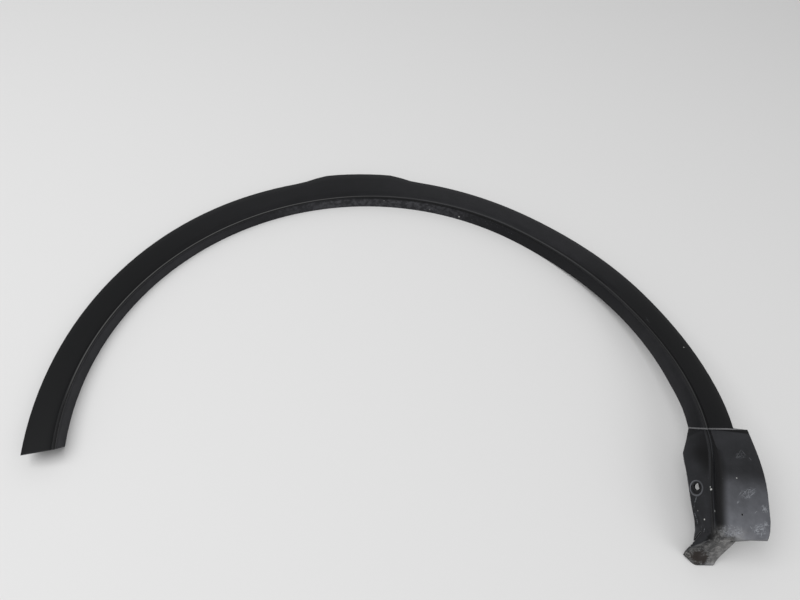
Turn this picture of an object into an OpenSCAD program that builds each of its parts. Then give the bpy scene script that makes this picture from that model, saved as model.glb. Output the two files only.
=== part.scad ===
// Wheel arch moulding of a car: one moulded plastic strip that lies face up, as it would rest.
// The band follows the wheel opening, and one end widens into a foot with a screw boss and a tongue.
// All lengths are in millimetres. Angles are counted from +X, counter-clockwise seen from above.

/* [Arch] */
// Radius of the wheel opening, at the lower edge of the flange
arch_radius = 385; // [365:1:400]
// Angle at which the plain end is cut
plain_end_angle = 198.3; // [190:0.1:204]
// How far the lower edge of the flange falls short of the plain end
plain_end_slant = 15; // [0:1:20]
// Distance of the step, where the band meets the foot, below the arch centre
step_below_centre = 37.5; // [20:1:50]
// Angle of the step and of the foot's sections, counted from the +X axis
foot_heading = 5.5; // [0:0.5:8]
// How far the lower edge of the flange falls short of the step
step_slant = 12; // [0:0.5:15]

/* [Rise of the foot's arm] */
// Height that the arm would reach if its rise went on to the end
rise_height = 76; // [40:1:90]
// Angle at which the arm leaves the surface that the part lies on
rise_from = 60; // [45:1:75]
// Angle over which the full rise is spread
rise_span = 100; // [90:1:120]

/* [Band section] */
// Wall thickness of the moulding
wall = 2.8; // [2:0.1:3.5]
// Width of the face where the band meets the foot
width_at_foot = 36.5; // [34:0.5:44]
// Width of the face along the upper part of the foot's arm
width_shoulder = 45; // [38:0.5:50]
// Width of the face where it is widest
width_widest = 55.4; // [45:0.1:60]
// Width of the face at the plain end
width_at_plain_end = 38; // [34:0.5:44]
// Angle at which the face is widest
widest_angle = 120.5; // [110:0.5:135]
// How much lower the outer edge lies than the crease
face_drop = 2.4; // [0:0.1:4]
// Mean depth of the flange
flange_depth = 21.5; // [18:0.5:26]
// How much the depth of the flange swings about its mean
flange_swing = 3.5; // [0:0.5:5]
// Lean of the flange along the plain arm and the top
flange_lean = 2; // [0.5:0.5:5]
// Lean of the flange where the band ends
step_lean = 11; // [4:0.5:14]
// How far the flange's lower edge moves out again just ahead of the step
step_tuck = 2.5; // [0:0.5:4]
// Height of the sealing lip turned down at the outer edge
lip_height = 5; // [4:0.5:7]
// Radius of the bead that runs along the crease
bead_radius = 1.6; // [1:0.1:2]
// Depth of the undercut that sets the bead off from the flange
undercut = 1.1; // [0:0.1:1.4]
// Depth of the groove beside the bead on the foot's arm
groove_depth = 1.3; // [0.2:0.1:2]

/* [Top bump] */
// How far the bump stands out of the outer edge
bump_height = 11.2; // [4:0.1:16]
// Angle of the middle of the bump
bump_angle = 99.9; // [90:0.1:110]
// Angle that the flat top of the bump covers
bump_top = 12.6; // [8:0.1:20]
// Angle of the long ramp, on the side of the plain arm
bump_ramp_long = 8; // [4:0.5:10]
// Angle of the short ramp, on the side of the foot
bump_ramp_short = 7; // [3:0.5:8]

/* [Foot] */
// Length of the foot from the step to its lower edge
foot_length = 123; // [100:0.5:135]
// Drop of the foot's surface below the band at the step
step_height = 2.6; // [1.5:0.1:3]
// Distance of the foot's crease from the arch centre
foot_crease_x = 383.5; // [380:0.5:392]
// Width of the foot's face below the step
foot_width_top = 54; // [44:0.5:58]
// Width of the foot's face at its lower edge
foot_width_end = 68; // [54:0.5:70]
// Depth of the foot's flange
foot_flange_depth = 29; // [26:0.5:32]
// Lean of the foot's flange, below the step and at the lower edge
foot_lean_top = 24.5; // [14:0.5:26]
foot_lean_end = 2.5; // [1:0.5:16]
// Length over which the band's section turns into the foot's section
foot_blend = 24; // [20:1:50]
// Upward slope with which the foot leaves the step
foot_slope = 0.14; // [0:0.01:0.2]
// How far the foot bends down over its length
foot_bend = 40; // [25:1:45]
// Size of the cut-off corner at the foot's outer end
foot_corner = 4.5; // [0:0.5:10]
// How far the flange's lower edge flares out at the end of the foot
foot_flare = 10.5; // [0:0.5:12]
// Depth of the valley between the foot's crease and its face
foot_groove_depth = 4.8; // [2:0.1:5]
// Radius with which the foot's face turns down into the tongue
foot_round = 8; // [5:0.5:9]

/* [Tongue] */
// Width of the tongue where it leaves the foot's face
tongue_width = 31; // [26:0.5:34]
// Width that the tongue has left at its foot
tongue_foot_width = 31; // [22:0.5:33]
// How far the tongue reaches inward past the crease at its foot
tongue_reach = 11; // [8:0.5:13]
// How far the tongue's lip stands out from the end of the foot
tongue_flare = 13; // [6:0.5:16]
// Size of the lip's rounded corner
tongue_corner = 12; // [5:1:14]
// Width of the slit between the tongue and the flange
slit_width = 1.5; // [1:0.1:2]
// Length of the slit
slit_length = 24; // [12:1:30]

/* [Screw boss] */
// Radius of the screw hole
screw_radius = 4.25; // [2.5:0.25:5]
// How far the hole sits off the middle of the boss, towards the step
screw_shift = 2.2; // [0:0.1:2.4]
// Outer radius of the boss
boss_radius = 9; // [8:0.5:10]
// Width of the raised rim round the boss
boss_rim = 1.8; // [1.2:0.1:2.5]
// How far the rim stands out of the flange
boss_rise = 0.8; // [0.4:0.1:1.5]
// Depth of the seat inside the rim, below the flange
boss_seat = 0.6; // [0.4:0.1:1.2]
// Depth of the boss below the outer side of the flange
boss_depth = 3.6; // [3:0.1:9]
// Distance of the hole from the step, along the foot
screw_from_step = 66; // [50:1:80]
// Height of the hole on the flange, as a share of the flange's depth
screw_share = 0.35; // [0.3:0.01:0.6]
// Radius of the pin hole in the foot's face
pin_radius = 1; // [0.8:0.1:1.5]

/* [Clip towers] */
// Length of a tower along the band
tower_length = 17; // [12:1:22]
// Width of a tower across the band
tower_width = 11; // [8:0.5:14]
// Height of a tower below the back of the face
tower_height = 9; // [6:0.5:11]
// Wall of a tower
tower_wall = 1.6; // [1.2:0.1:2]
// Width of the slot that a clip slides into
clip_slot = 5; // [4:0.5:7]
// Angle from one tower to the next
tower_pitch = 25; // [20:1:40]

/* [Hidden] */

// Angle between two sections along the band
band_step = 2.4;
// Number of sections along the foot
foot_steps = 13;
// Thickness of the sealing lip
lip_wall = 2;
// Distance from the crease to where the face begins, on the band and on the foot, and the
// distances from the step between which the valley opens
groove_width = 5.5;
foot_groove_width = 14.5;
valley_start = 10;
valley_length = 44;
// Angles from which, and over which, the flange's lean, the groove and the step's tuck change
lean_from = 28;
lean_span = 34;
groove_from = 46;
groove_span = 18;
faint_groove = 0.3;
tuck_from = 9;
tuck_span = 14;
// Angles over which the face widens to its shoulder, then to its widest place, and narrows again
shoulder_from = -8;
shoulder_span = 52;
widest_lead = 4;
widen_span = 58;
narrow_span = 70;
// Lengths over which the foot's face widens and its crease swings out
foot_widen_length = 85;
foot_swing_length = 95;
// Share of the foot's length that its cut corner takes
corner_share = 0.14;
// Distances below the crease where the flange runs into the bead's hollow
hollow_start = 6.4;
hollow_end = 4.3;
// Share of the face's width at each point of its crown
crown_shares = [0.2, 0.3, 0.5, 0.75, 1];
// Length over which the wall thickens ahead of the step
step_thickening = 12;
// Length of the flare at the end of the foot
flare_length = 30;
// Width over which the rounding at the tongue dies out across the foot's face
round_fade = 5;
// Height of the tongue's front edge below its back edge, where both run into the foot
tongue_bevel = 3.4;
// How late the tongue swings inward on its way down
tongue_swing = 0.7;
// Steps across and down the tongue
tongue_across = 16;
tongue_down = 12;
// How deep the towers run into the wall
sink = 1.4;
// How far the tongue's face stays back from the end of the foot
tongue_setback = 0.7;
// Faces of round holes and bosses
$fn = 48;

function clamp(t) = min(1, max(0, t));
function ease(t) = (1 - cos(180 * clamp(t))) / 2;
function mix(a, b, t) = a + (b - a) * t;

// How the band changes along its angle
function rise(a) = rise_height * ease((rise_from - a) / rise_span);
function depth(a) = flange_depth + flange_swing * cos(2 * (a - 45));
function lean(a) = mix(flange_lean, step_lean, ease((lean_from - a) / lean_span));
function groove(a) = mix(faint_groove, groove_depth, ease((groove_from - a) / groove_span));
function tuck(a) = step_tuck * ease((tuck_from - a) / tuck_span);
function bump(a) =
    let (first = bump_angle - bump_top / 2, last = bump_angle + bump_top / 2)
    bump_height * ease((a - first + bump_ramp_short) / bump_ramp_short)
        * ease((last + bump_ramp_long - a) / bump_ramp_long);
function width(a) = width_at_foot + bump(a)
    + (width_shoulder - width_at_foot) * ease((a - shoulder_from) / shoulder_span)
    + (width_widest - width_shoulder) * ease(1 - (widest_angle - widest_lead - a) / widen_span)
    - (width_widest - width_at_plain_end) * ease((a - widest_angle - widest_lead) / narrow_span);

// The step: the angle, place and height of the band's crease where it ends
step_angle = -asin(step_below_centre / (arch_radius + step_lean));
step_x = (arch_radius + lean(step_angle)) * cos(step_angle);
step_top = rise(step_angle) + depth(step_angle);

// How the foot changes with the distance s from the step
function foot_blend_at(s) = ease(s / foot_blend);
function foot_depth(s) = mix(depth(step_angle), foot_flange_depth, foot_blend_at(s));
function foot_lean(s) =
    mix(lean(step_angle) - step_tuck, mix(foot_lean_top, foot_lean_end, s / foot_length), foot_blend_at(s))
    + foot_flare * pow(clamp((s - foot_length + flare_length) / flare_length), 2);
function foot_x(s) = mix(step_x + step_height / 2, foot_crease_x, ease(s / foot_swing_length));
function foot_top(s) = step_top - step_height + foot_slope * s - foot_bend * pow(s / foot_length, 2);
function valley_at(s) = ease((s - valley_start) / valley_length);
function foot_lip(s) = lip_height * ease((foot_length - s) / step_thickening);
function foot_turn(s) =
    let (c = max(0, s - foot_length + foot_round))
    foot_round - sqrt(pow(foot_round, 2) - pow(c, 2));
function foot_width(s) = mix(foot_width_top, foot_width_end, ease(s / foot_widen_length))
    - foot_corner * pow(clamp((s / foot_length - 1 + corner_share) / corner_share), 2);

// Half of the section that shows: the flange, the bead, the groove, the face and the outer edge.
// Points are [distance outward from the crease, height above the flange's lower edge].
function shown_side(w, h, lean, gw, gd, drop) =
    let (face_end = w - 1.5)
    concat(
        [
            [-lean, 0],
            [-lean * hollow_start / h, h - hollow_start],
            [undercut - lean * hollow_end / h, h - hollow_end]
        ],
        [for (t = [200:-46:16]) [bead_radius * (1 + cos(t)), h - 1.5 + bead_radius * sin(t)]],
        [[mix(3.1, gw, 0.35), h - 0.3 - gd], [gw, h]],
        [for (f = crown_shares) [mix(gw, face_end, f), h - drop * f * f]],
        [[w - 0.4, h - drop - 0.5], [w, h - drop - 1.7]]
    );

// The other half: the sealing lip, the back of the face and the back of the flange
function back_side(w, h, lean, gw, gd, drop, t, lip) =
    let (lip_foot = h - drop - t - max(lip - wall, 0.2))
    [
        [w, lip_foot],
        [w - lip_wall, lip_foot],
        [w - lip_wall - 0.4, h - drop - t],
        [mix(gw, w, 0.6), h - drop * 0.4 - t],
        [gw + 1, h - t - gd * 0.5],
        [t * 1.1, h - t - gd - 1.2],
        [-lean + t * 1.05, 0]
    ];

function section(w, h, lean, gw, gd, drop, t, lip) =
    concat(shown_side(w, h, lean, gw, gd, drop), back_side(w, h, lean, gw, gd, drop, t, lip));

// A station is [origin on the ground line of the crease, heading, slant, depth, section]
function band_station(a) =
    let (
        r = arch_radius + lean(a),
        h = depth(a),
        t = wall + step_height * ease(1 - (a - step_angle) * PI / 180 * r / step_thickening)
    )
    [
        [r * cos(a), r * sin(a), rise(a)],
        mix(a, foot_heading, ease((12 - a) / (12 - step_angle))),
        a == plain_end_angle ? plain_end_slant : -step_slant * ease((8 - a) / (8 - step_angle)),
        h,
        section(width(a), h, lean(a) - tuck(a), groove_width, groove(a), face_drop, t, lip_height)
    ];
function foot_section(s) =
    let (
        gw = mix(groove_width, foot_groove_width, valley_at(s)),
        gd = mix(groove_depth, foot_groove_depth, valley_at(s))
    )
    section(foot_width(s), foot_depth(s), foot_lean(s), gw, gd, face_drop, wall, foot_lip(s));
function foot_station(s) =
    let (h = foot_depth(s))
    [
        [foot_x(s), -step_below_centre - s, foot_top(s) - h],
        foot_heading,
        -step_slant * (1 - foot_blend_at(s)),
        h,
        [for (p = foot_section(s))
            [p[0], p[1] - foot_turn(s) * ease((tongue_width - p[0]) / round_fade) * pow(clamp(p[1] / h), 2)]]
    ];
function station_ring(st) = [for (p = st[4])
    st[0] + [p[0] * cos(st[1]), p[0] * sin(st[1]), p[1]]
        + st[2] * (1 - p[1] / st[3]) * [sin(st[1]), -cos(st[1]), 0]];

band_count = ceil((plain_end_angle - step_angle) / band_step);
stations = concat(
    [for (i = [0:band_count]) band_station(mix(plain_end_angle, step_angle, i / band_count))],
    [for (i = [0:foot_steps - 1]) foot_station(mix(0.3, foot_length - foot_round, i / (foot_steps - 1)))],
    [for (t = [15:15:90]) foot_station(foot_length - foot_round * (1 - sin(t)))]
);
shell_rings = [for (st = stations) station_ring(st)];

// The tongue's back. It drops from the end of the foot, u counts across it from the flange's edge and
// v from the foot down to the surface that the part lies on.
end_top = foot_top(foot_length);
end_low = end_top - foot_flange_depth;
end_y = -step_below_centre - foot_length;
function x_at(u) = mix(0.8 - foot_lean(foot_length), tongue_width - foot_lean_end, u);
function tongue_top(u) =
    let (
        lean = foot_lean(foot_length),
        x = x_at(u),
        middle = 1 + (x - wall / 2) / lean
    )
    [
        foot_x(foot_length) + x,
        end_y + x * sin(foot_heading) + wall + tongue_setback,
        min(end_low + foot_flange_depth * max(middle, 0.06), end_top - wall)
    ];
function tongue_foot(u) =
    let (x = tongue_foot_width * u)
    [
        foot_x(foot_length) - tongue_reach + x,
        end_y + 0.08 * x - tongue_flare * (1 - pow(1 - clamp(x / tongue_corner), 2)),
        0
    ];
function tongue_back(u, v) =
    let (top = tongue_top(u), foot = tongue_foot(u), down = sin(90 * v), out = mix(pow(1 - cos(90 * v), 1.5), down, 0.5))
    [
        mix(top[0], foot[0], down * pow(abs(down), tongue_swing)),
        mix(top[1], foot[1], out),
        mix(top[2], foot[2], down)
    ];
function unit(p) = p / norm(p);
function tongue_front(u, v) =
    let (
        across = tongue_back(u + 0.02, v) - tongue_back(u - 0.02, v),
        down = tongue_back(u, v + 0.01) - tongue_back(u, v - 0.01)
    )
    tongue_back(u, v) - wall * unit(cross(across, down))
        - [0, 0, tongue_bevel * ease((x_at(u) + 2) / 4) * pow(1 - v, 4)];

// The screw boss sits square on the flange, here on its outer side
boss_tilt = atan2(foot_flange_depth, foot_lean(screw_from_step));
boss_place = [
    foot_x(screw_from_step) - foot_lean(screw_from_step) * (1 - screw_share),
    -step_below_centre - screw_from_step,
    foot_top(screw_from_step) - foot_flange_depth * (1 - screw_share)
];

// The part stands with the middle of its bounding box over the origin
outline = concat(
    [for (r = shell_rings, p = r) p],
    [for (i = [0:tongue_across]) tongue_front(i / tongue_across, 1)],
    [for (i = [0:tongue_across]) tongue_back(i / tongue_across, 1)]
);
centre_x = (max([for (p = outline) p[0]]) + min([for (p = outline) p[0]])) / 2;
centre_y = (max([for (p = outline) p[1]]) + min([for (p = outline) p[1]])) / 2;

// End cap of a skin over sections: a strip from the shown side of the section, point by point,
// to the points of its back that face them. The number b is the first point of the section.
facing = [23, 22, 22, 22, 22, 22, 22, 22, 22, 21, 21, 21, 20, 20, 19, 19, 19, 18];
function cap(b) = concat(
    [for (i = [0:len(facing) - 2]) [b + i + 1, b + i, b + facing[i]]],
    [for (i = [0:len(facing) - 2]) if (facing[i + 1] < facing[i])
        [b + i + 1, b + facing[i], b + facing[i + 1]]]
);

// Skin over a row of sections
module loft(rings) {
    m = len(rings[0]);
    n = len(rings);
    polyhedron(
        points = [for (r = rings, p = r) p],
        faces = concat(
            cap(0),
            [for (f = cap((n - 1) * m)) [f[0], f[2], f[1]]],
            [for (i = [0:n - 2], j = [0:m - 1])
                [i * m + j, (i + 1) * m + (j + 1) % m, (i + 1) * m + j]],
            [for (i = [0:n - 2], j = [0:m - 1])
                [i * m + j, i * m + (j + 1) % m, (i + 1) * m + (j + 1) % m]]
        ),
        convexity = 10
    );
}

// Closed sheet between a front and a back grid of the same size
module sheet(front, back) {
    n = len(front);
    m = len(front[0]);
    k = n * m;
    polyhedron(
        points = concat([for (r = front, p = r) p], [for (r = back, p = r) p]),
        faces = concat(
            [for (i = [0:n - 2], j = [0:m - 2]) [i * m + j, i * m + j + 1, (i + 1) * m + j + 1]],
            [for (i = [0:n - 2], j = [0:m - 2]) [i * m + j, (i + 1) * m + j + 1, (i + 1) * m + j]],
            [for (i = [0:n - 2], j = [0:m - 2]) [k + i * m + j, k + (i + 1) * m + j + 1, k + i * m + j + 1]],
            [for (i = [0:n - 2], j = [0:m - 2]) [k + i * m + j, k + (i + 1) * m + j, k + (i + 1) * m + j + 1]],
            [for (j = [0:m - 2], e = [[j, k + j, k + j + 1], [j, k + j + 1, j + 1]]) e],
            [for (j = [0:m - 2], b = [(n - 1) * m + j])
                for (e = [[b, b + 1, k + b + 1], [b, k + b + 1, k + b]]) e],
            [for (i = [0:n - 2], b = [i * m])
                for (e = [[b, b + m, k + b + m], [b, k + b + m, k + b]]) e],
            [for (i = [0:n - 2], b = [i * m + m - 1])
                for (e = [[b, k + b, k + b + m], [b, k + b + m, b + m]]) e]
        ),
        convexity = 6
    );
}

module tongue() {
    us = [for (i = [0:tongue_across]) i / tongue_across];
    vs = [for (j = [0:tongue_down]) j / tongue_down];
    color("#3a3a3b")
        sheet([for (v = vs) [for (u = us) tongue_front(u, v)]], [for (v = vs) [for (u = us) tongue_back(u, v)]]);
}

// Cut between the tongue and the flange, up from the flange's lower edge
module slit() {
    translate([foot_x(foot_length) - foot_lean_end - foot_flare, end_y + 3.5, end_low])
        rotate([-30, 0, 0])
            translate([-8, -slit_width / 2, -6])
                cube([20, slit_width, slit_length]);
}

// Places a child on the flange at the screw hole, with +Z pointing out of it
module at_boss() {
    translate(boss_place) rotate([0, -boss_tilt, foot_heading]) children();
}

module screw_boss() {
    color("#2b2c2f") at_boss()
        translate([0, 0, -boss_depth])
            cylinder(r = boss_radius, h = boss_depth + boss_rise);
}

module screw_hole() {
    at_boss() {
        translate([0, 0, -boss_seat]) cylinder(r = boss_radius - boss_rim, h = 10);
        translate([0, screw_shift, -boss_depth - 1]) cylinder(r = screw_radius, h = boss_depth + 5);
    }
}

module pin_hole() {
    s = 0.78 * foot_length;
    translate([foot_x(s) + foot_width(s) / 2, -step_below_centre - s, foot_top(s) - 12])
        cylinder(r = pin_radius, h = 20);
}

// Open box under the face, with a keyhole slot in its floor for a clip. +X runs along the band.
module clip_tower() {
    inner_length = tower_length - 2 * tower_wall;
    inner_width = tower_width - tower_wall;
    difference() {
        translate([-tower_length / 2, -tower_width / 2, -tower_height])
            cube([tower_length, tower_width, tower_height + sink]);
        translate([-inner_length / 2, tower_wall - tower_width / 2, tower_wall - tower_height])
            cube([inner_length, inner_width + 1, tower_height - tower_wall]);
        translate([0, 0, -tower_height - 1])
            cylinder(r = clip_slot / 2, h = tower_wall + 2);
        translate([-clip_slot / 2 + 0.5, 0, -tower_height - 1])
            cube([clip_slot - 1, tower_width, tower_wall + 2]);
    }
}

module band_tower(a) {
    r = arch_radius + lean(a) + 0.55 * (width(a) - bump(a));
    color("#26272a")
        translate([r * cos(a), r * sin(a), rise(a) + depth(a) - wall - 1])
            rotate([0, 0, a - 90])
                clip_tower();
}

module arch_moulding() {
    translate([-centre_x, -centre_y, 0]) difference() {
        union() {
            color("#2b2c2f") loft(shell_rings);
            tongue();
            screw_boss();
            for (a = [plain_end_angle - 12:-tower_pitch:8]) band_tower(a);
        }
        screw_hole();
        pin_hole();
        slit();
    }
}

arch_moulding();
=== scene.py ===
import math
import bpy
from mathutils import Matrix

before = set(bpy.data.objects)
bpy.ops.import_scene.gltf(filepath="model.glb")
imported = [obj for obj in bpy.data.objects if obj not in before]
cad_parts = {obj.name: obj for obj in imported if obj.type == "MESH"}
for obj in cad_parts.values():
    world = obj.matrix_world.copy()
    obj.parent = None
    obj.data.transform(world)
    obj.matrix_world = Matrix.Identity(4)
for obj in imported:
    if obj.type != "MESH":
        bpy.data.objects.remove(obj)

# A fender moulding that lies face up on a pale table. All of its shape is the CAD's. This scene adds the
# look of the moulded plastic, the table, the light and the camera.
from types import SimpleNamespace

import bpy
from mathutils import Matrix, Vector

scene = bpy.context.scene


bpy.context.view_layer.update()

MM = 0.001

# ---------------------------------------------------------------- places on the part, in mm
# Centre of the wheel opening's arc
ARCH_CENTRE = (-12.58, -138.23)
# The crease between face and flange: its radius, its height on the table and how much that height swells,
# and half of what it climbs along the foot's arm
CREASE_RADIUS = 385
CREASE_HEIGHT = 21.5
CREASE_SWELL = 3.5
HALF_CLIMB = 38
# Degrees on the arch between which the arm climbs, and between which its crease leans out, and by how much.
# 0 is at the right, 90 at the top, and the plain end is at 198.
CLIMB_FROM, CLIMB_TO = 60, -40
LEAN_FROM, LEAN_TO = 28, -6
LEAN_LEAST, LEAN_MOST = 2.0, 11.0
# Soft edges in y and x that tell the foot from the band and from the plain end
STEP_FROM, STEP_TO = -174.8, -176.5
RIGHT_FROM, RIGHT_TO = 300, 310

# Height of the foot's face and how far a mark on it reaches up and down. Then the flange's place in x and how
# far a mark on it reaches outward.
FACE_HEIGHT, FACE_REACH = 62, 60
FLANGE_X, FLANGE_REACH = 365, 5
# A stroke goes past its two points by this much, and its half width is this share of its width
STROKE_CAP = 0.6
STROKE_SHARE = 0.55
# Scratches on the foot's face, as (x, y) of start and end, width, strength
FACE_MARKS = [
    ((408, -211), (414, -204), 1.1, 0.24), ((409, -211), (413, -208), 0.9, 0.18),
    ((414, -204), (418, -199), 0.9, 0.20), ((418, -199), (422, -206), 0.9, 0.20),
    ((425, -207), (427, -211), 1.1, 0.26), ((403, -253), (409, -246), 1.0, 0.34),
    ((406, -253), (415, -245), 1.0, 0.34), ((409, -255), (416, -252), 1.2, 0.40),
    ((416, -252), (423, -247), 1.2, 0.42), ((416, -248), (426, -242), 1.0, 0.36),
    ((420, -249), (424, -244), 0.9, 0.26), ((400, -261), (403, -258), 1.6, 0.50),
    ((419, -269), (423, -266), 1.1, 0.30), ((429, -265), (435, -260), 1.5, 0.34),
    ((430, -262), (434, -264), 1.1, 0.34), ((430, -277), (434, -278), 2.0, 0.70),
    ((430, -279), (434, -276), 1.3, 0.60), ((419, -283), (425, -280), 1.3, 0.46),
    ((418, -286), (423, -284), 1.2, 0.34), ((424, -284), (431, -281), 1.4, 0.38),
    ((413, -282), (415, -284), 1.3, 0.46), ((419, -288), (427, -287), 1.2, 0.34),
    ((422, -291), (430, -290), 1.2, 0.30), ((382, -285), (384, -294), 1.2, 0.30),
    ((390, -287), (387, -296), 1.2, 0.30), ((398, -283), (396, -292), 1.0, 0.24),
    ((403, -283), (402, -293), 1.0, 0.26), ((355, 17), (360, 0), 0.8, 0.12),
    ((356, 11), (358, 3), 0.8, 0.12),
]
# Scuffed areas on the foot's face: middle, half sizes, turn in degrees, strength
SCUFFS = [
    ((415, -249), (12, 6), 28, 0.36), ((415, -207), (9, 5), 20, 0.12), ((425, -284), (11, 7), 12, 0.58),
    ((432, -263), (6, 5), 30, 0.46), ((432, -278), (5, 3.4), 0, 0.60), ((392, -289), (17, 7), 0, 0.40),
]
# Scratches on the flange below the screw hole, as (y, z) of start and end, width, strength
FLANGE_MARKS = [
    ((-250, 50), (-257, 43.7), 1.2, 0.40), ((-257, 43.7), (-262, 39.6), 1.1, 0.36),
    ((-265, 39), (-271, 38), 1.4, 0.40), ((-272, 38), (-277, 37), 1.5, 0.42),
    ((-284, 45.4), (-288, 41.7), 1.3, 0.46), ((-280, 41), (-285, 39.6), 0.9, 0.20),
    ((-277, 34), (-290, 28), 0.9, 0.18),
]
# White specks: place, radius, strength
SPECKS = [
    ((373, -246, 68.1), 1.1, 0.55), ((373, -249, 68.4), 1.7, 0.85), ((374, -271, 62), 1.5, 0.75),
    ((368, -276, 48.3), 1.3, 0.75), ((387, -236, 72.6), 1.2, 0.40), ((404, -234, 72.2), 1.1, 0.50),
    ((395, -41, 55.9), 1.1, 0.55), ((91, 233, 6), 1.4, 0.75), ((365, -265, 44.3), 0.9, 0.35),
    ((40, 244, 6.3), 1.0, 0.45), ((-40, 247, 13.1), 1.0, 0.35), ((-142, 224, 2.8), 1.0, 0.35),
]
# A speck fades from this share of its radius
SPECK_CORE = 0.45
# Screw boss: the middle of its mouth, and its turn in degrees
BOSS_PLACE = (365.2, -241.7, 52.8)
BOSS_TURN = (0, -66.36, 5.5)
# The tongue's face seen from above: a line through this point, with this slope
TONGUE_X, TONGUE_Y, TONGUE_SLOPE = 358.7, -299.8, 0.0963
# Middles of the tongue's brown dirt, of the dark spot above the slit and of the curled lip
BROWN_DIRT = (370, -305, 12)
DARK_SPOT = (372, -294.5, 51)
CURL = (360.5, -302.5, 6.5)
# How far the noise moves the outline of a dirty spot
RAGGED = 30
# Stretches of the arch in degrees: from, to and how soft their ends are
TOP = (76, 118, 12)
RIGHT_ARM = (-20, 22, 10)
UPPER_RIGHT = (38, 92, 14)
GRITTY = (58, 104, 8)
SHADED = (50, 104, 14)
# Soft edges on the arch in degrees: from none to all
LEFT_ARM = (122, 150)
LEFT_HALF = (60, 110)
# Stretches where the face on the left and right arms is darkened: painted shade for a weaker reflection
FACE_SHADE_LEFT, FACE_SHADE_RIGHT = (118, 160), (48, 18)
# Stretch over which the bead's painted highlight grows towards the left
BEAD_HIGHLIGHT_LEFT = (86, 126)
BEAD_END = (191, 180)
GROOVE_START = (66, 46)
PLAIN_END = (172, 192)
# Radius to which edges look rounded on the foot, on the arch and at the plain end
FOOT_ROUND, ARCH_ROUND, END_ROUND = 1.5, 0.6, 2.2
# Vertices nearer than this are one; an edge sharper than this angle stays sharp
WELD_WITHIN = 0.01
SHARP_DEGREES = 40

# ---------------------------------------------------------------- surface
# Noises: scale per metre, detail, roughness, distortion
NOISES = {
    "blotch": (160, 4, 0.65, 0), "mottle": (45, 4, 0.6, 0), "cloud": (14, 3, 0.55, 0.4),
    "fine": (900, 3, 0.6, 0), "speckle": (520, 2, 0.5, 0), "broken": (850, 2, 0.6, 0),
    "wander": (240, 3, 0.62, 0.6), "streak": (1, 3, 0.55, 0),
}
# Cells of the moulded grain per metre, its height in mm and its strength
GRAIN_CELLS, GRAIN_HEIGHT, GRAIN_STRENGTH = 1500, 0.03, 0.5
# How often the streaks change outward, along the arch and upward
STREAK_OUT, STREAK_ALONG, STREAK_UP = 420, 9, 300
# Dust and painted sheen on the right arm's flange, the upper right of the face and the foot's face
ARM_DUST_AND_SHEEN, FACE_DUST_AND_SHEEN, FOOT_DUST_AND_SHEEN = 0.030, 0.035, 0.37
# Share of light specks in the dust: at the top of the flange, on the foot and all over
TOP_GRIT, FOOT_GRIT, GRIT = 0.30, 0.05, 0.01
# Roughness of the clean plastic, how much dust and dull places add to it, and the shader's specular level
ROUGH_LEAST, ROUGH_MOST = 0.40, 0.48
DUSTY_ROUGH, DUSTY_LIMIT, DULL_ROUGH = 0.9, 0.35, 0.22
PLASTIC_SPECULAR, TABLE_SPECULAR, TABLE_ROUGH = 0.18, 0.2, 0.6

# ---------------------------------------------------------------- colours, 0..255 in the picture's scale
# Some of these paint light and shade: the darker face is painted shade; the edge, bead and step colours are
# partly painted highlights; the films and the tongue colour also paint sheen and light; and shade is painted
# shade
COLOURS = {
    "plastic_dark": (17, 18, 20), "plastic_light": (23, 23, 26), "painted_face_shade": (7, 8, 10),
    "shade": (4, 4, 5), "rubbed_and_highlight": (140, 140, 142), "band_film": (126, 126, 132),
    "foot_film": (140, 142, 149), "bead_highlight": (186, 186, 184), "step_edge_highlight": (150, 150, 152),
    "foot_edge": (150, 152, 156), "tongue_dust_and_light": (146, 145, 144), "brown_dirt": (38, 31, 27),
    "curl_rim": (170, 168, 164), "scratch": (176, 180, 186), "speck": (205, 205, 202),
    "table": (226, 226, 226),
}


def colour(name):
    """A named colour as linear numbers."""
    parts = [c / 255 for c in COLOURS[name]]
    return tuple(c / 12.92 if c <= 0.04045 else ((c + 0.055) / 1.055) ** 2.4 for c in parts)


def mm(values):
    return tuple(v * MM for v in values)


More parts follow.
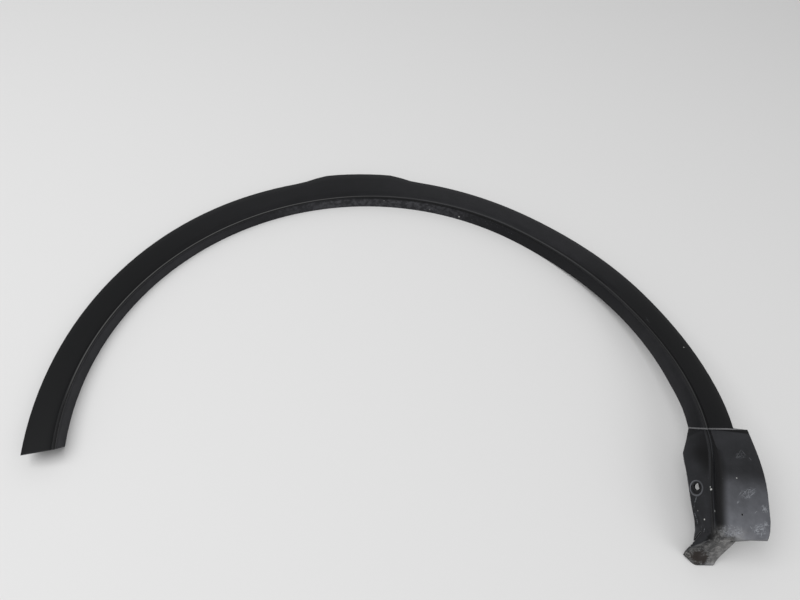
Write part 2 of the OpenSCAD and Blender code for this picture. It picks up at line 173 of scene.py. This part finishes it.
# ---------------------------------------------------------------- node helpers
class Net:
    """Builds a material's node tree from short calls."""

    # Places of the colour sockets on a Mix node
    MIX_A, MIX_B, MIX_RESULT = 6, 7, 2

    def __init__(self, name):
        self.mat = bpy.data.materials.new(name)
        self.mat.use_nodes = True
        self.tree = self.mat.node_tree
        self.tree.nodes.clear()
        self.point = self.new("ShaderNodeTexCoord").outputs["Object"]

    def new(self, kind):
        return self.tree.nodes.new(kind)

    def put(self, socket, value):
        if isinstance(value, bpy.types.NodeSocket):
            self.tree.links.new(value, socket)
        elif isinstance(value, tuple) and len(socket.default_value) == 4:
            socket.default_value = value + (1,)
        else:
            socket.default_value = value

    def math(self, op, a, b=0.0):
        n = self.new("ShaderNodeMath")
        n.operation = op
        self.put(n.inputs[0], a)
        self.put(n.inputs[1], b)
        return n.outputs[0]

    def fold(self, op, first, *rest):
        for value in rest:
            first = self.math(op, first, value)
        return first

    def add(self, *values):
        return self.fold("ADD", *values)

    def sub(self, *values):
        return self.fold("SUBTRACT", *values)

    def mul(self, *values):
        return self.fold("MULTIPLY", *values)

    def most(self, *values):
        return self.fold("MAXIMUM", *values)

    def weigh(self, a, share, b):
        """a and b added, with this share of a and the rest of b."""
        return self.add(self.mul(a, share), self.mul(b, 1 - share))

    def measure(self, op, a, b=(0, 0, 0)):
        """LENGTH, DISTANCE or DOT_PRODUCT of vectors."""
        n = self.new("ShaderNodeVectorMath")
        n.operation = op
        self.put(n.inputs[0], a)
        self.put(n.inputs[1], b)
        return n.outputs["Value"]

    def far(self, place):
        """Distance from a place given in mm."""
        return self.measure("DISTANCE", self.point, mm(place))

    def split(self, v):
        n = self.new("ShaderNodeSeparateXYZ")
        self.put(n.inputs[0], v)
        return n.outputs[0], n.outputs[1], n.outputs[2]

    def join(self, x, y, z):
        n = self.new("ShaderNodeCombineXYZ")
        for socket, value in zip(n.inputs, (x, y, z)):
            self.put(socket, value)
        return n.outputs[0]

    def ramp(self, v, a, b, lo=0.0, hi=1.0, kind="SMOOTHSTEP"):
        """Maps v from a..b to lo..hi and stays flat outside."""
        n = self.new("ShaderNodeMapRange")
        n.interpolation_type = kind
        n.clamp = True
        for i, value in enumerate((v, a, b, lo, hi)):
            self.put(n.inputs[i], value)
        return n.outputs[0]

    def ramp_mm(self, v, a, b, lo=0.0, hi=1.0):
        return self.ramp(v, a * MM, b * MM, lo, hi)

    def band(self, v, a, b, soft):
        """1 between a and b, and 0 outside, over a soft edge."""
        return self.mul(self.ramp(v, a - soft, a + soft), self.ramp(v, b - soft, b + soft, 1.0, 0.0))

    def band_mm(self, v, a, b, soft):
        return self.band(v, a * MM, b * MM, soft * MM)

    def noise(self, name, v=None):
        """One of the named noises, at the point or at v."""
        n = self.new("ShaderNodeTexNoise")
        self.put(n.inputs["Vector"], v or self.point)
        for key, value in zip(("Scale", "Detail", "Roughness", "Distortion"), NOISES[name]):
            n.inputs[key].default_value = value
        return n.outputs["Fac"]

    def cells(self, scale):
        n = self.new("ShaderNodeTexVoronoi")
        self.put(n.inputs["Vector"], self.point)
        n.inputs["Scale"].default_value = scale
        return n.outputs["Distance"]

    def mix(self, share, a, b):
        n = self.new("ShaderNodeMix")
        n.data_type = "RGBA"
        self.put(n.inputs[0], share)
        self.put(n.inputs[self.MIX_A], a)
        self.put(n.inputs[self.MIX_B], b)
        return n.outputs[self.MIX_RESULT]

    def local(self, place, turn, scale=(1, 1, 1)):
        """The point in a frame that lies at a place in mm, turned and scaled."""
        n = self.new("ShaderNodeMapping")
        n.vector_type = "TEXTURE"
        self.put(n.inputs["Vector"], self.point)
        n.inputs["Location"].default_value = mm(place)
        n.inputs["Rotation"].default_value = turn
        n.inputs["Scale"].default_value = scale
        return n.outputs[0]

    def patch(self, place, turn, size, strength):
        """An ellipsoid with a soft rim: strength inside, 0 outside."""
        reach = self.measure("LENGTH", self.local(place, turn, mm(size)))
        return self.ramp(reach, 0.55, 1.0, strength, 0.0)

    def shader(self, base, rough, specular):
        """The plain shader at the end of the net."""
        n = self.new("ShaderNodeBsdfPrincipled")
        self.put(n.inputs["Base Color"], base)
        self.put(n.inputs["Roughness"], rough)
        n.inputs["Specular IOR Level"].default_value = specular
        self.put(self.new("ShaderNodeOutputMaterial").inputs["Surface"], n.outputs[0])
        return n


# ---------------------------------------------------------------- moulded plastic
def places(n):
    """Where on the part the point is, the masks of the part's areas, and the noises."""
    at = SimpleNamespace()
    at.x, at.y, at.z = n.split(n.point)
    at.normal = n.new("ShaderNodeNewGeometry").outputs["Normal"]
    at.nx, at.ny, at.nz = n.split(at.normal)

    # Angle on the arch, height over the crease and distance out from the crease in mm
    ax, ay = n.sub(at.x, ARCH_CENTRE[0] * MM), n.sub(at.y, ARCH_CENTRE[1] * MM)
    radius = n.measure("LENGTH", n.join(ax, ay, 0))
    angle = n.add(n.math("ARCTAN2", n.mul(ax, -1.0), ay), math.pi / 2)
    at.deg = n.mul(angle, 180 / math.pi)
    climb = n.ramp(at.deg, CLIMB_FROM, CLIMB_TO, 0.0, math.pi, "LINEAR")
    rise = n.mul(n.sub(1.0, n.math("COSINE", climb)), HALF_CLIMB)
    swell = n.mul(n.math("SINE", n.mul(angle, 2)), CREASE_SWELL)
    at.over = n.sub(n.mul(at.z, 1 / MM), rise, n.add(CREASE_HEIGHT, swell))
    lean = n.ramp(at.deg, LEAN_FROM, LEAN_TO, LEAN_LEAST, LEAN_MOST)
    at.out = n.sub(n.mul(radius, 1 / MM), CREASE_RADIUS, lean)

    at.on_foot = n.mul(n.ramp_mm(at.y, STEP_FROM, STEP_TO), n.ramp_mm(at.x, RIGHT_FROM, RIGHT_TO))
    at.on_band = n.sub(1.0, at.on_foot)
    at.face_up = n.ramp(at.nz, 0.55, 0.8)
    at.upright = n.mul(n.ramp(at.nz, 0.62, 0.4), n.ramp(at.nz, -0.5, -0.2))

    at.blotch, at.mottle, at.cloud, at.fine = (n.noise(name) for name in ("blotch", "mottle", "cloud", "fine"))
    at.speckle = n.ramp(n.noise("speckle"), 0.66, 0.78)
    at.grain = n.cells(GRAIN_CELLS)
    along = n.join(n.mul(radius, STREAK_OUT), n.mul(angle, STREAK_ALONG), n.mul(at.z, STREAK_UP))
    at.streak = n.noise("streak", along)
    return at


def dust_and_sheen_film(n, at):
    """Dust and painted sheen: a light film on the flange, most at the top of the arch, on the upper right of
    the face, and on the foot.
    """
    flange = n.mul(at.upright, at.on_band, n.ramp(at.over, -2.2, -3.4))
    left = n.mul(n.ramp(at.deg, *LEFT_ARM, 0.040, 0.095), n.ramp(at.deg, *LEFT_HALF))
    top = n.mul(n.band(at.deg, *TOP), n.ramp(at.blotch, 0.42, 0.60, 0.04, 0.19))
    right = n.mul(n.band(at.deg, *RIGHT_ARM), ARM_DUST_AND_SHEEN)
    right_face = n.mul(n.band(at.deg, *UPPER_RIGHT), at.face_up, at.on_band)
    # The foot's face is lighter towards its bottom, where it bends down: dust with a painted sheen
    foot_down = n.add(n.ramp_mm(at.y, -224, -254, 0.14, 0.9), n.ramp_mm(at.y, -258, -288, 0.0, 0.45))
    foot_face = n.mul(at.on_foot, at.face_up, foot_down, n.ramp(at.nx, -0.38, -0.06))
    foot_wall = n.mul(at.on_foot, n.ramp(at.nx, -0.74, -0.82))
    film = n.add(n.mul(flange, n.add(left, top, right)), n.mul(right_face, FACE_DUST_AND_SHEEN),
                 n.mul(foot_face, FOOT_DUST_AND_SHEEN), n.mul(foot_wall, n.ramp(at.nz, 0.25, 0.5, 0.012, 0.042)))
    film = n.mul(film, n.ramp(n.weigh(at.mottle, 0.6, at.cloud), 0.3, 0.7, 0.7, 1.3))

    grit = n.add(n.mul(flange, n.band(at.deg, *GRITTY), TOP_GRIT), n.mul(at.on_foot, FOOT_GRIT), GRIT)
    # The lower edge of the foot's flange
    hem = n.mul(at.on_foot, at.upright, n.ramp_mm(at.x, 385, 376), n.band_mm(at.y, -285, -248, 6),
                n.ramp_mm(at.z, 48, 40))
    return n.add(film, n.mul(at.speckle, grit), n.mul(hem, n.ramp(at.mottle, 0.35, 0.65, 0.0, 0.10)))


def stroke(start, end, width):
    """Middle, half length, half width and direction of a scratch."""
    (a0, b0), (a1, b1) = start, end
    half = math.hypot(a1 - a0, b1 - b0) / 2 + STROKE_CAP
    return ((a0 + a1) / 2, (b0 + b1) / 2), half, width * STROKE_SHARE, math.atan2(b1 - b0, a1 - a0)


def scratches(n, at):
    """Scratches, broken by noise, and scuffs with a lace of fine lines."""
    broken = n.ramp(n.noise("broken"), 0.38, 0.6, 0.1, 0.75)
    wander = n.math("ABSOLUTE", n.sub(n.noise("wander"), 0.5))
    lace = n.most(n.ramp(wander, 0.008, 0.030, 1.0, 0.0), n.mul(n.ramp(at.blotch, 0.52, 0.68), 0.35))
    marks = 0.0
    for start, end, width, strength in FACE_MARKS:
        (x, y), half, thin, turn = stroke(start, end, width)
        spot = n.patch((x, y, FACE_HEIGHT), (0, 0, turn), (half, thin, FACE_REACH), strength)
        marks = n.most(marks, spot)
    marks = n.mul(marks, broken)
    for (x, y), (wide, deep), turn, strength in SCUFFS:
        spot = n.patch((x, y, FACE_HEIGHT), (0, 0, math.radians(turn)), (wide, deep, FACE_REACH), strength)
        marks = n.most(marks, n.mul(spot, lace))
    marks = n.mul(marks, n.ramp(at.nz, 0.1, 0.4))
    for start, end, width, strength in FLANGE_MARKS:
        (y, z), half, thin, turn = stroke(start, end, width)
        spot = n.patch((FLANGE_X, y, z), (turn, 0, 0), (FLANGE_REACH, half, thin), strength)
        marks = n.most(marks, n.mul(spot, broken))
    return marks


def specks(n):
    white = 0.0
    for place, radius, strength in SPECKS:
        spot = n.ramp_mm(n.far(place), radius * SPECK_CORE, radius, strength, 0.0)
        white = n.most(white, spot)
    return white


def tongue_layers(n, at):
    """Dust on the tongue, partly painted light: lighter towards its right side and on the bend from the foot's
    face. Brown dirt, the curled lip's light rim, and a dark spot painted above the slit.
    """
    line = n.mul(n.sub(at.x, TONGUE_X * MM), TONGUE_SLOPE)
    past = n.sub(line, n.sub(at.y, TONGUE_Y * MM))
    tongue = n.mul(n.ramp_mm(past, -2.2, -1.2), n.ramp_mm(at.z, 51, 45), n.ramp(at.nx, -0.9, -0.6))
    ragged = n.mul(n.sub(at.blotch, 0.5), RAGGED * MM)
    brown = n.mul(tongue, n.ramp_mm(n.add(n.far(BROWN_DIRT), ragged), 7, 13, 1.0, 0.0))
    black = n.ramp_mm(n.add(n.far(DARK_SPOT), ragged), 3, 8, 0.9, 0.0)
    cake = n.ramp(n.weigh(at.blotch, 0.65, at.fine), 0.42, 0.62, 0.02, 0.48)
    # Caked dust, and lighter towards +x, the side that faces the light: painted light
    dust_and_light = n.mul(tongue, n.add(cake, n.ramp_mm(at.x, 374, 388, 0.0, 0.38)))
    # Where the foot's face turns down into the tongue: blotches of dust and a painted highlight on the bend
    bend = n.mul(at.on_foot, n.ramp_mm(at.y, -280, -296), n.ramp_mm(at.x, 369, 376),
                 n.ramp_mm(at.x, 424, 400), n.ramp(at.nz, -0.1, 0.1))
    dust_and_light = n.most(dust_and_light, n.mul(bend, n.ramp(n.weigh(at.blotch, 0.6, at.fine), 0.42, 0.60, 0.12, 0.44)))
    rim = n.mul(n.band_mm(n.far(CURL), 2.2, 3.4, 0.5), n.ramp(at.fine, 0.4, 0.55, 0.1, 0.4))
    return dust_and_light, brown, black, rim


def boss_layers(n, at):
    """The screw boss: its rim is lightened with the film colour as a painted highlight, and the seat inside it
    is darkened as painted shade.
    """
    bx, by, bz = n.split(n.local(BOSS_PLACE, [math.radians(v) for v in BOSS_TURN]))
    spread = n.measure("LENGTH", n.join(bx, by, 0))
    rim = n.mul(n.band_mm(spread, 7.5, 9.1, 0.35), n.band_mm(bz, -2.5, 2.0, 0.3))
    seat = n.mul(n.ramp_mm(spread, 7.4, 6.9), n.ramp_mm(bz, 0.5, 0.0))
    return n.mul(rim, n.ramp(at.mottle, 0.3, 0.7, 0.18, 0.42)), seat


def cut_ends(n, at):
    """The band's end face over the step, lightened as a raw cut edge with a painted highlight, and the lower
    edge of the foot.
    """
    facing = n.ramp(at.ny, -0.45, -0.8)
    step = n.mul(facing, n.band_mm(at.y, -192, -164, 2), n.ramp_mm(at.x, 330, 350))
    foot = n.mul(facing, n.ramp_mm(at.y, -286, -289), n.ramp_mm(at.z, 44, 46), n.ramp_mm(at.x, 394, 400))
    return step, foot


def rounded_normal(n, at):
    """The normal with its edges softened, most on the foot and at the plain end."""
    bevel = n.new("ShaderNodeBevel")
    bevel.samples = 6
    on_arch = n.ramp(at.deg, *PLAIN_END, ARCH_ROUND * MM, END_ROUND * MM)
    n.put(bevel.inputs["Radius"], n.most(n.mul(at.on_foot, FOOT_ROUND * MM), on_arch))
    return bevel.outputs[0]


def edge_layers(n, at, rounded):
    """Edges and the bead are lightened, partly as wear and partly as a painted highlight, and the bead's line,
    a painted highlight, is lightest on the left of the arch.
    """
    edge = n.ramp(n.measure("DOT_PRODUCT", rounded, at.normal), 0.995, 0.90)
    free = n.most(n.ramp_mm(at.z, 56, 50), n.ramp_mm(at.x, 400, 408))
    edge = n.mul(edge, n.most(at.on_band, n.ramp(free, 0.0, 1.0, 0.12, 1.0)))
    bead = n.mul(n.band(at.out, 0.7, 2.0, 0.4), n.ramp(at.over, -1.2, -0.4), at.on_band,
                 n.ramp(at.deg, *BEAD_END))
    rubbed_and_highlight = n.most(n.mul(edge, 0.8), n.mul(bead, n.ramp(at.streak, 0.3, 0.7, 0.3, 0.75)))
    # A painted highlight along the bead's top, strongest on the left of the arch
    line = n.mul(bead, at.on_band, n.ramp(at.deg, *BEAD_HIGHLIGHT_LEFT, 0.03, 0.15))
    return n.mul(rubbed_and_highlight, n.ramp(at.on_foot, 0.0, 1.0, 0.10, 0.36)), line


def shade_layers(n, at):
    """Painted shade in dark strips: on the flange below the bead, in the arm's groove and the foot's valley,
    and on the ridge beside it, where it dims a highlight.
    """
    strip = n.mul(n.band(at.over, -5.6, -1.6, 0.5), at.upright, n.band(at.deg, *SHADED), at.on_band)
    groove = n.mul(n.band(at.out, 2.9, 5.4, 0.5), at.on_band, n.ramp(at.deg, *GROOVE_START))
    valley = n.mul(at.on_foot, at.face_up, n.ramp(at.nx, -0.28, -0.45))
    ridge = n.mul(at.on_foot, n.ramp(at.nz, 0.56, 0.66), n.ramp_mm(at.x, 382.0, 379.8),
                  n.ramp_mm(at.y, -182, -206))
    dark = n.most(n.mul(strip, 0.85), n.mul(n.most(valley, groove), 0.65), n.mul(ridge, 0.8))
    return dark, n.most(ridge, valley)


def moulded_plastic():
    n = Net("moulded_plastic")
    at = places(n)
    dust_and_light = dust_and_sheen_film(n, at)
    marks = scratches(n, at)
    tongue_dust_and_light, brown, black, curl_rim = tongue_layers(n, at)
    boss_rim_highlight, boss_seat_shade = boss_layers(n, at)
    step_end_highlight, foot_end = cut_ends(n, at)
    rounded = rounded_normal(n, at)
    rubbed_and_highlight, line = edge_layers(n, at, rounded)
    dark, dull = shade_layers(n, at)
    # The face on both arms is darkened: painted shade for the weaker reflection there
    face_shade = n.mul(at.face_up, at.on_band, n.most(n.ramp(at.deg, *FACE_SHADE_LEFT), n.ramp(at.deg, *FACE_SHADE_RIGHT)))
    film = n.mix(at.on_foot, colour("band_film"), colour("foot_film"))
    tone = n.weigh(at.streak, 0.5, at.mottle)

    base = n.mix(n.ramp(tone, 0.3, 0.7), colour("plastic_dark"), colour("plastic_light"))
    # Layers over the plastic's own tone. Painted light and shade among them: the darker arm faces; the edge,
    # bead, boss rim and step highlights; the sheen in the film and the lighter side of the tongue; and the
    # dark strips, boss seat and dark spot
    for share, layer in (
        (face_shade, colour("painted_face_shade")),
        (rubbed_and_highlight, colour("rubbed_and_highlight")),
        (dust_and_light, film),
        (line, colour("bead_highlight")),
        (dark, colour("shade")),
        (boss_rim_highlight, film),
        (n.most(n.mul(boss_seat_shade, 0.5), black), colour("shade")),
        (n.mul(step_end_highlight, 0.75), colour("step_edge_highlight")),
        (n.mul(foot_end, 0.45), colour("foot_edge")),
        (tongue_dust_and_light, colour("tongue_dust_and_light")),
        (n.mul(brown, 0.85), colour("brown_dirt")),
        (curl_rim, colour("curl_rim")),
        (marks, colour("scratch")),
        (specks(n), colour("speck")),
    ):
        base = n.mix(share, base, layer)

    powder = n.math("MINIMUM", n.mul(n.add(dust_and_light, tongue_dust_and_light, marks), DUSTY_ROUGH), DUSTY_LIMIT)
    rough = n.add(n.ramp(tone, 0.3, 0.7, ROUGH_LEAST, ROUGH_MOST), powder, n.mul(dull, DULL_ROUGH))
    shader = n.shader(base, rough, PLASTIC_SPECULAR)

    # Only the moulded grain is in the bump: with the marks in it the net outgrows what Cycles can hold
    bump = n.new("ShaderNodeBump")
    n.put(bump.inputs["Height"], n.weigh(at.grain, 0.6, at.fine))
    bump.inputs["Distance"].default_value = GRAIN_HEIGHT * MM
    bump.inputs["Strength"].default_value = GRAIN_STRENGTH
    n.put(bump.inputs["Normal"], rounded)
    n.put(shader.inputs["Normal"], bump.outputs[0])
    return n.mat


moulding = bpy.data.objects["arch_moulding"]
for polygon in moulding.data.polygons:
    polygon.use_smooth = True
weld = moulding.modifiers.new("weld", "WELD")
weld.merge_threshold = WELD_WITHIN * MM
split = moulding.modifiers.new("split", "EDGE_SPLIT")
split.split_angle = math.radians(SHARP_DEGREES)
moulding.data.materials.clear()
moulding.data.materials.append(moulded_plastic())

# ---------------------------------------------------------------- stage
FLOOR_X, FLOOR_Y = 4, 3

table_top = Net("table_top")
table_top.shader(colour("table"), TABLE_ROUGH, TABLE_SPECULAR)
floor_mesh = bpy.data.meshes.new("floor")
corners = [(-FLOOR_X, -FLOOR_Y, 0), (FLOOR_X, -FLOOR_Y, 0), (FLOOR_X, FLOOR_Y, 0), (-FLOOR_X, FLOOR_Y, 0)]
floor_mesh.from_pydata(corners, [], [(0, 1, 2, 3)])
floor_mesh.materials.append(table_top.mat)
floor = bpy.data.objects.new("floor", floor_mesh)
scene.collection.objects.link(floor)

# ---------------------------------------------------------------- light
ROOM_STRENGTH = 0.5
# Soft lamps that look at the middle of the part: direction, distance in m, size in m, power in W
LAMPS = {
    "overhead": ((-0.46, -0.2, 0.88), 3.2, 2.6, 58),
    "right": ((0.66, -0.46, 0.72), 3.0, 1.7, 9),
}

world = bpy.data.worlds.new("room")
scene.world = world
world.use_nodes = True
background = world.node_tree.nodes["Background"]
background.inputs["Color"].default_value = (1, 1, 1, 1)
background.inputs["Strength"].default_value = ROOM_STRENGTH

for name, (direction, distance, size, power) in LAMPS.items():
    light = bpy.data.lights.new(name, "AREA")
    light.shape = "SQUARE"
    light.size = size
    light.energy = power
    lamp = bpy.data.objects.new(name, light)
    scene.collection.objects.link(lamp)
    lamp.location = Vector(direction).normalized() * distance
    lamp.rotation_euler = (-Vector(direction)).to_track_quat("-Z", "Y").to_euler()

# ---------------------------------------------------------------- camera
CAMERA_PLACE = (4.32, -547.03, 698.7)
CAMERA_PITCH, CAMERA_ROLL = 50.0, 5.7
CAMERA_LENS = 27.045

pitch = math.radians(CAMERA_PITCH)
roll = math.radians(CAMERA_ROLL)
side = Vector((1, 0, 0))
look = Vector((0, math.cos(pitch), -math.sin(pitch)))
head = side.cross(look)
right = side * math.cos(roll) + head * math.sin(roll)
up = head * math.cos(roll) - side * math.sin(roll)
camera_data = bpy.data.cameras.new("camera")
camera_data.sensor_fit = "HORIZONTAL"
camera_data.sensor_width = 36
camera_data.lens = CAMERA_LENS
camera_data.clip_start = 0.01
camera = bpy.data.objects.new("camera", camera_data)
scene.collection.objects.link(camera)
turn = Matrix((right, up, -look)).transposed().to_4x4()
camera.matrix_world = Matrix.Translation(mm(CAMERA_PLACE)) @ turn
scene.camera = camera
scene.view_settings.view_transform = "Standard"
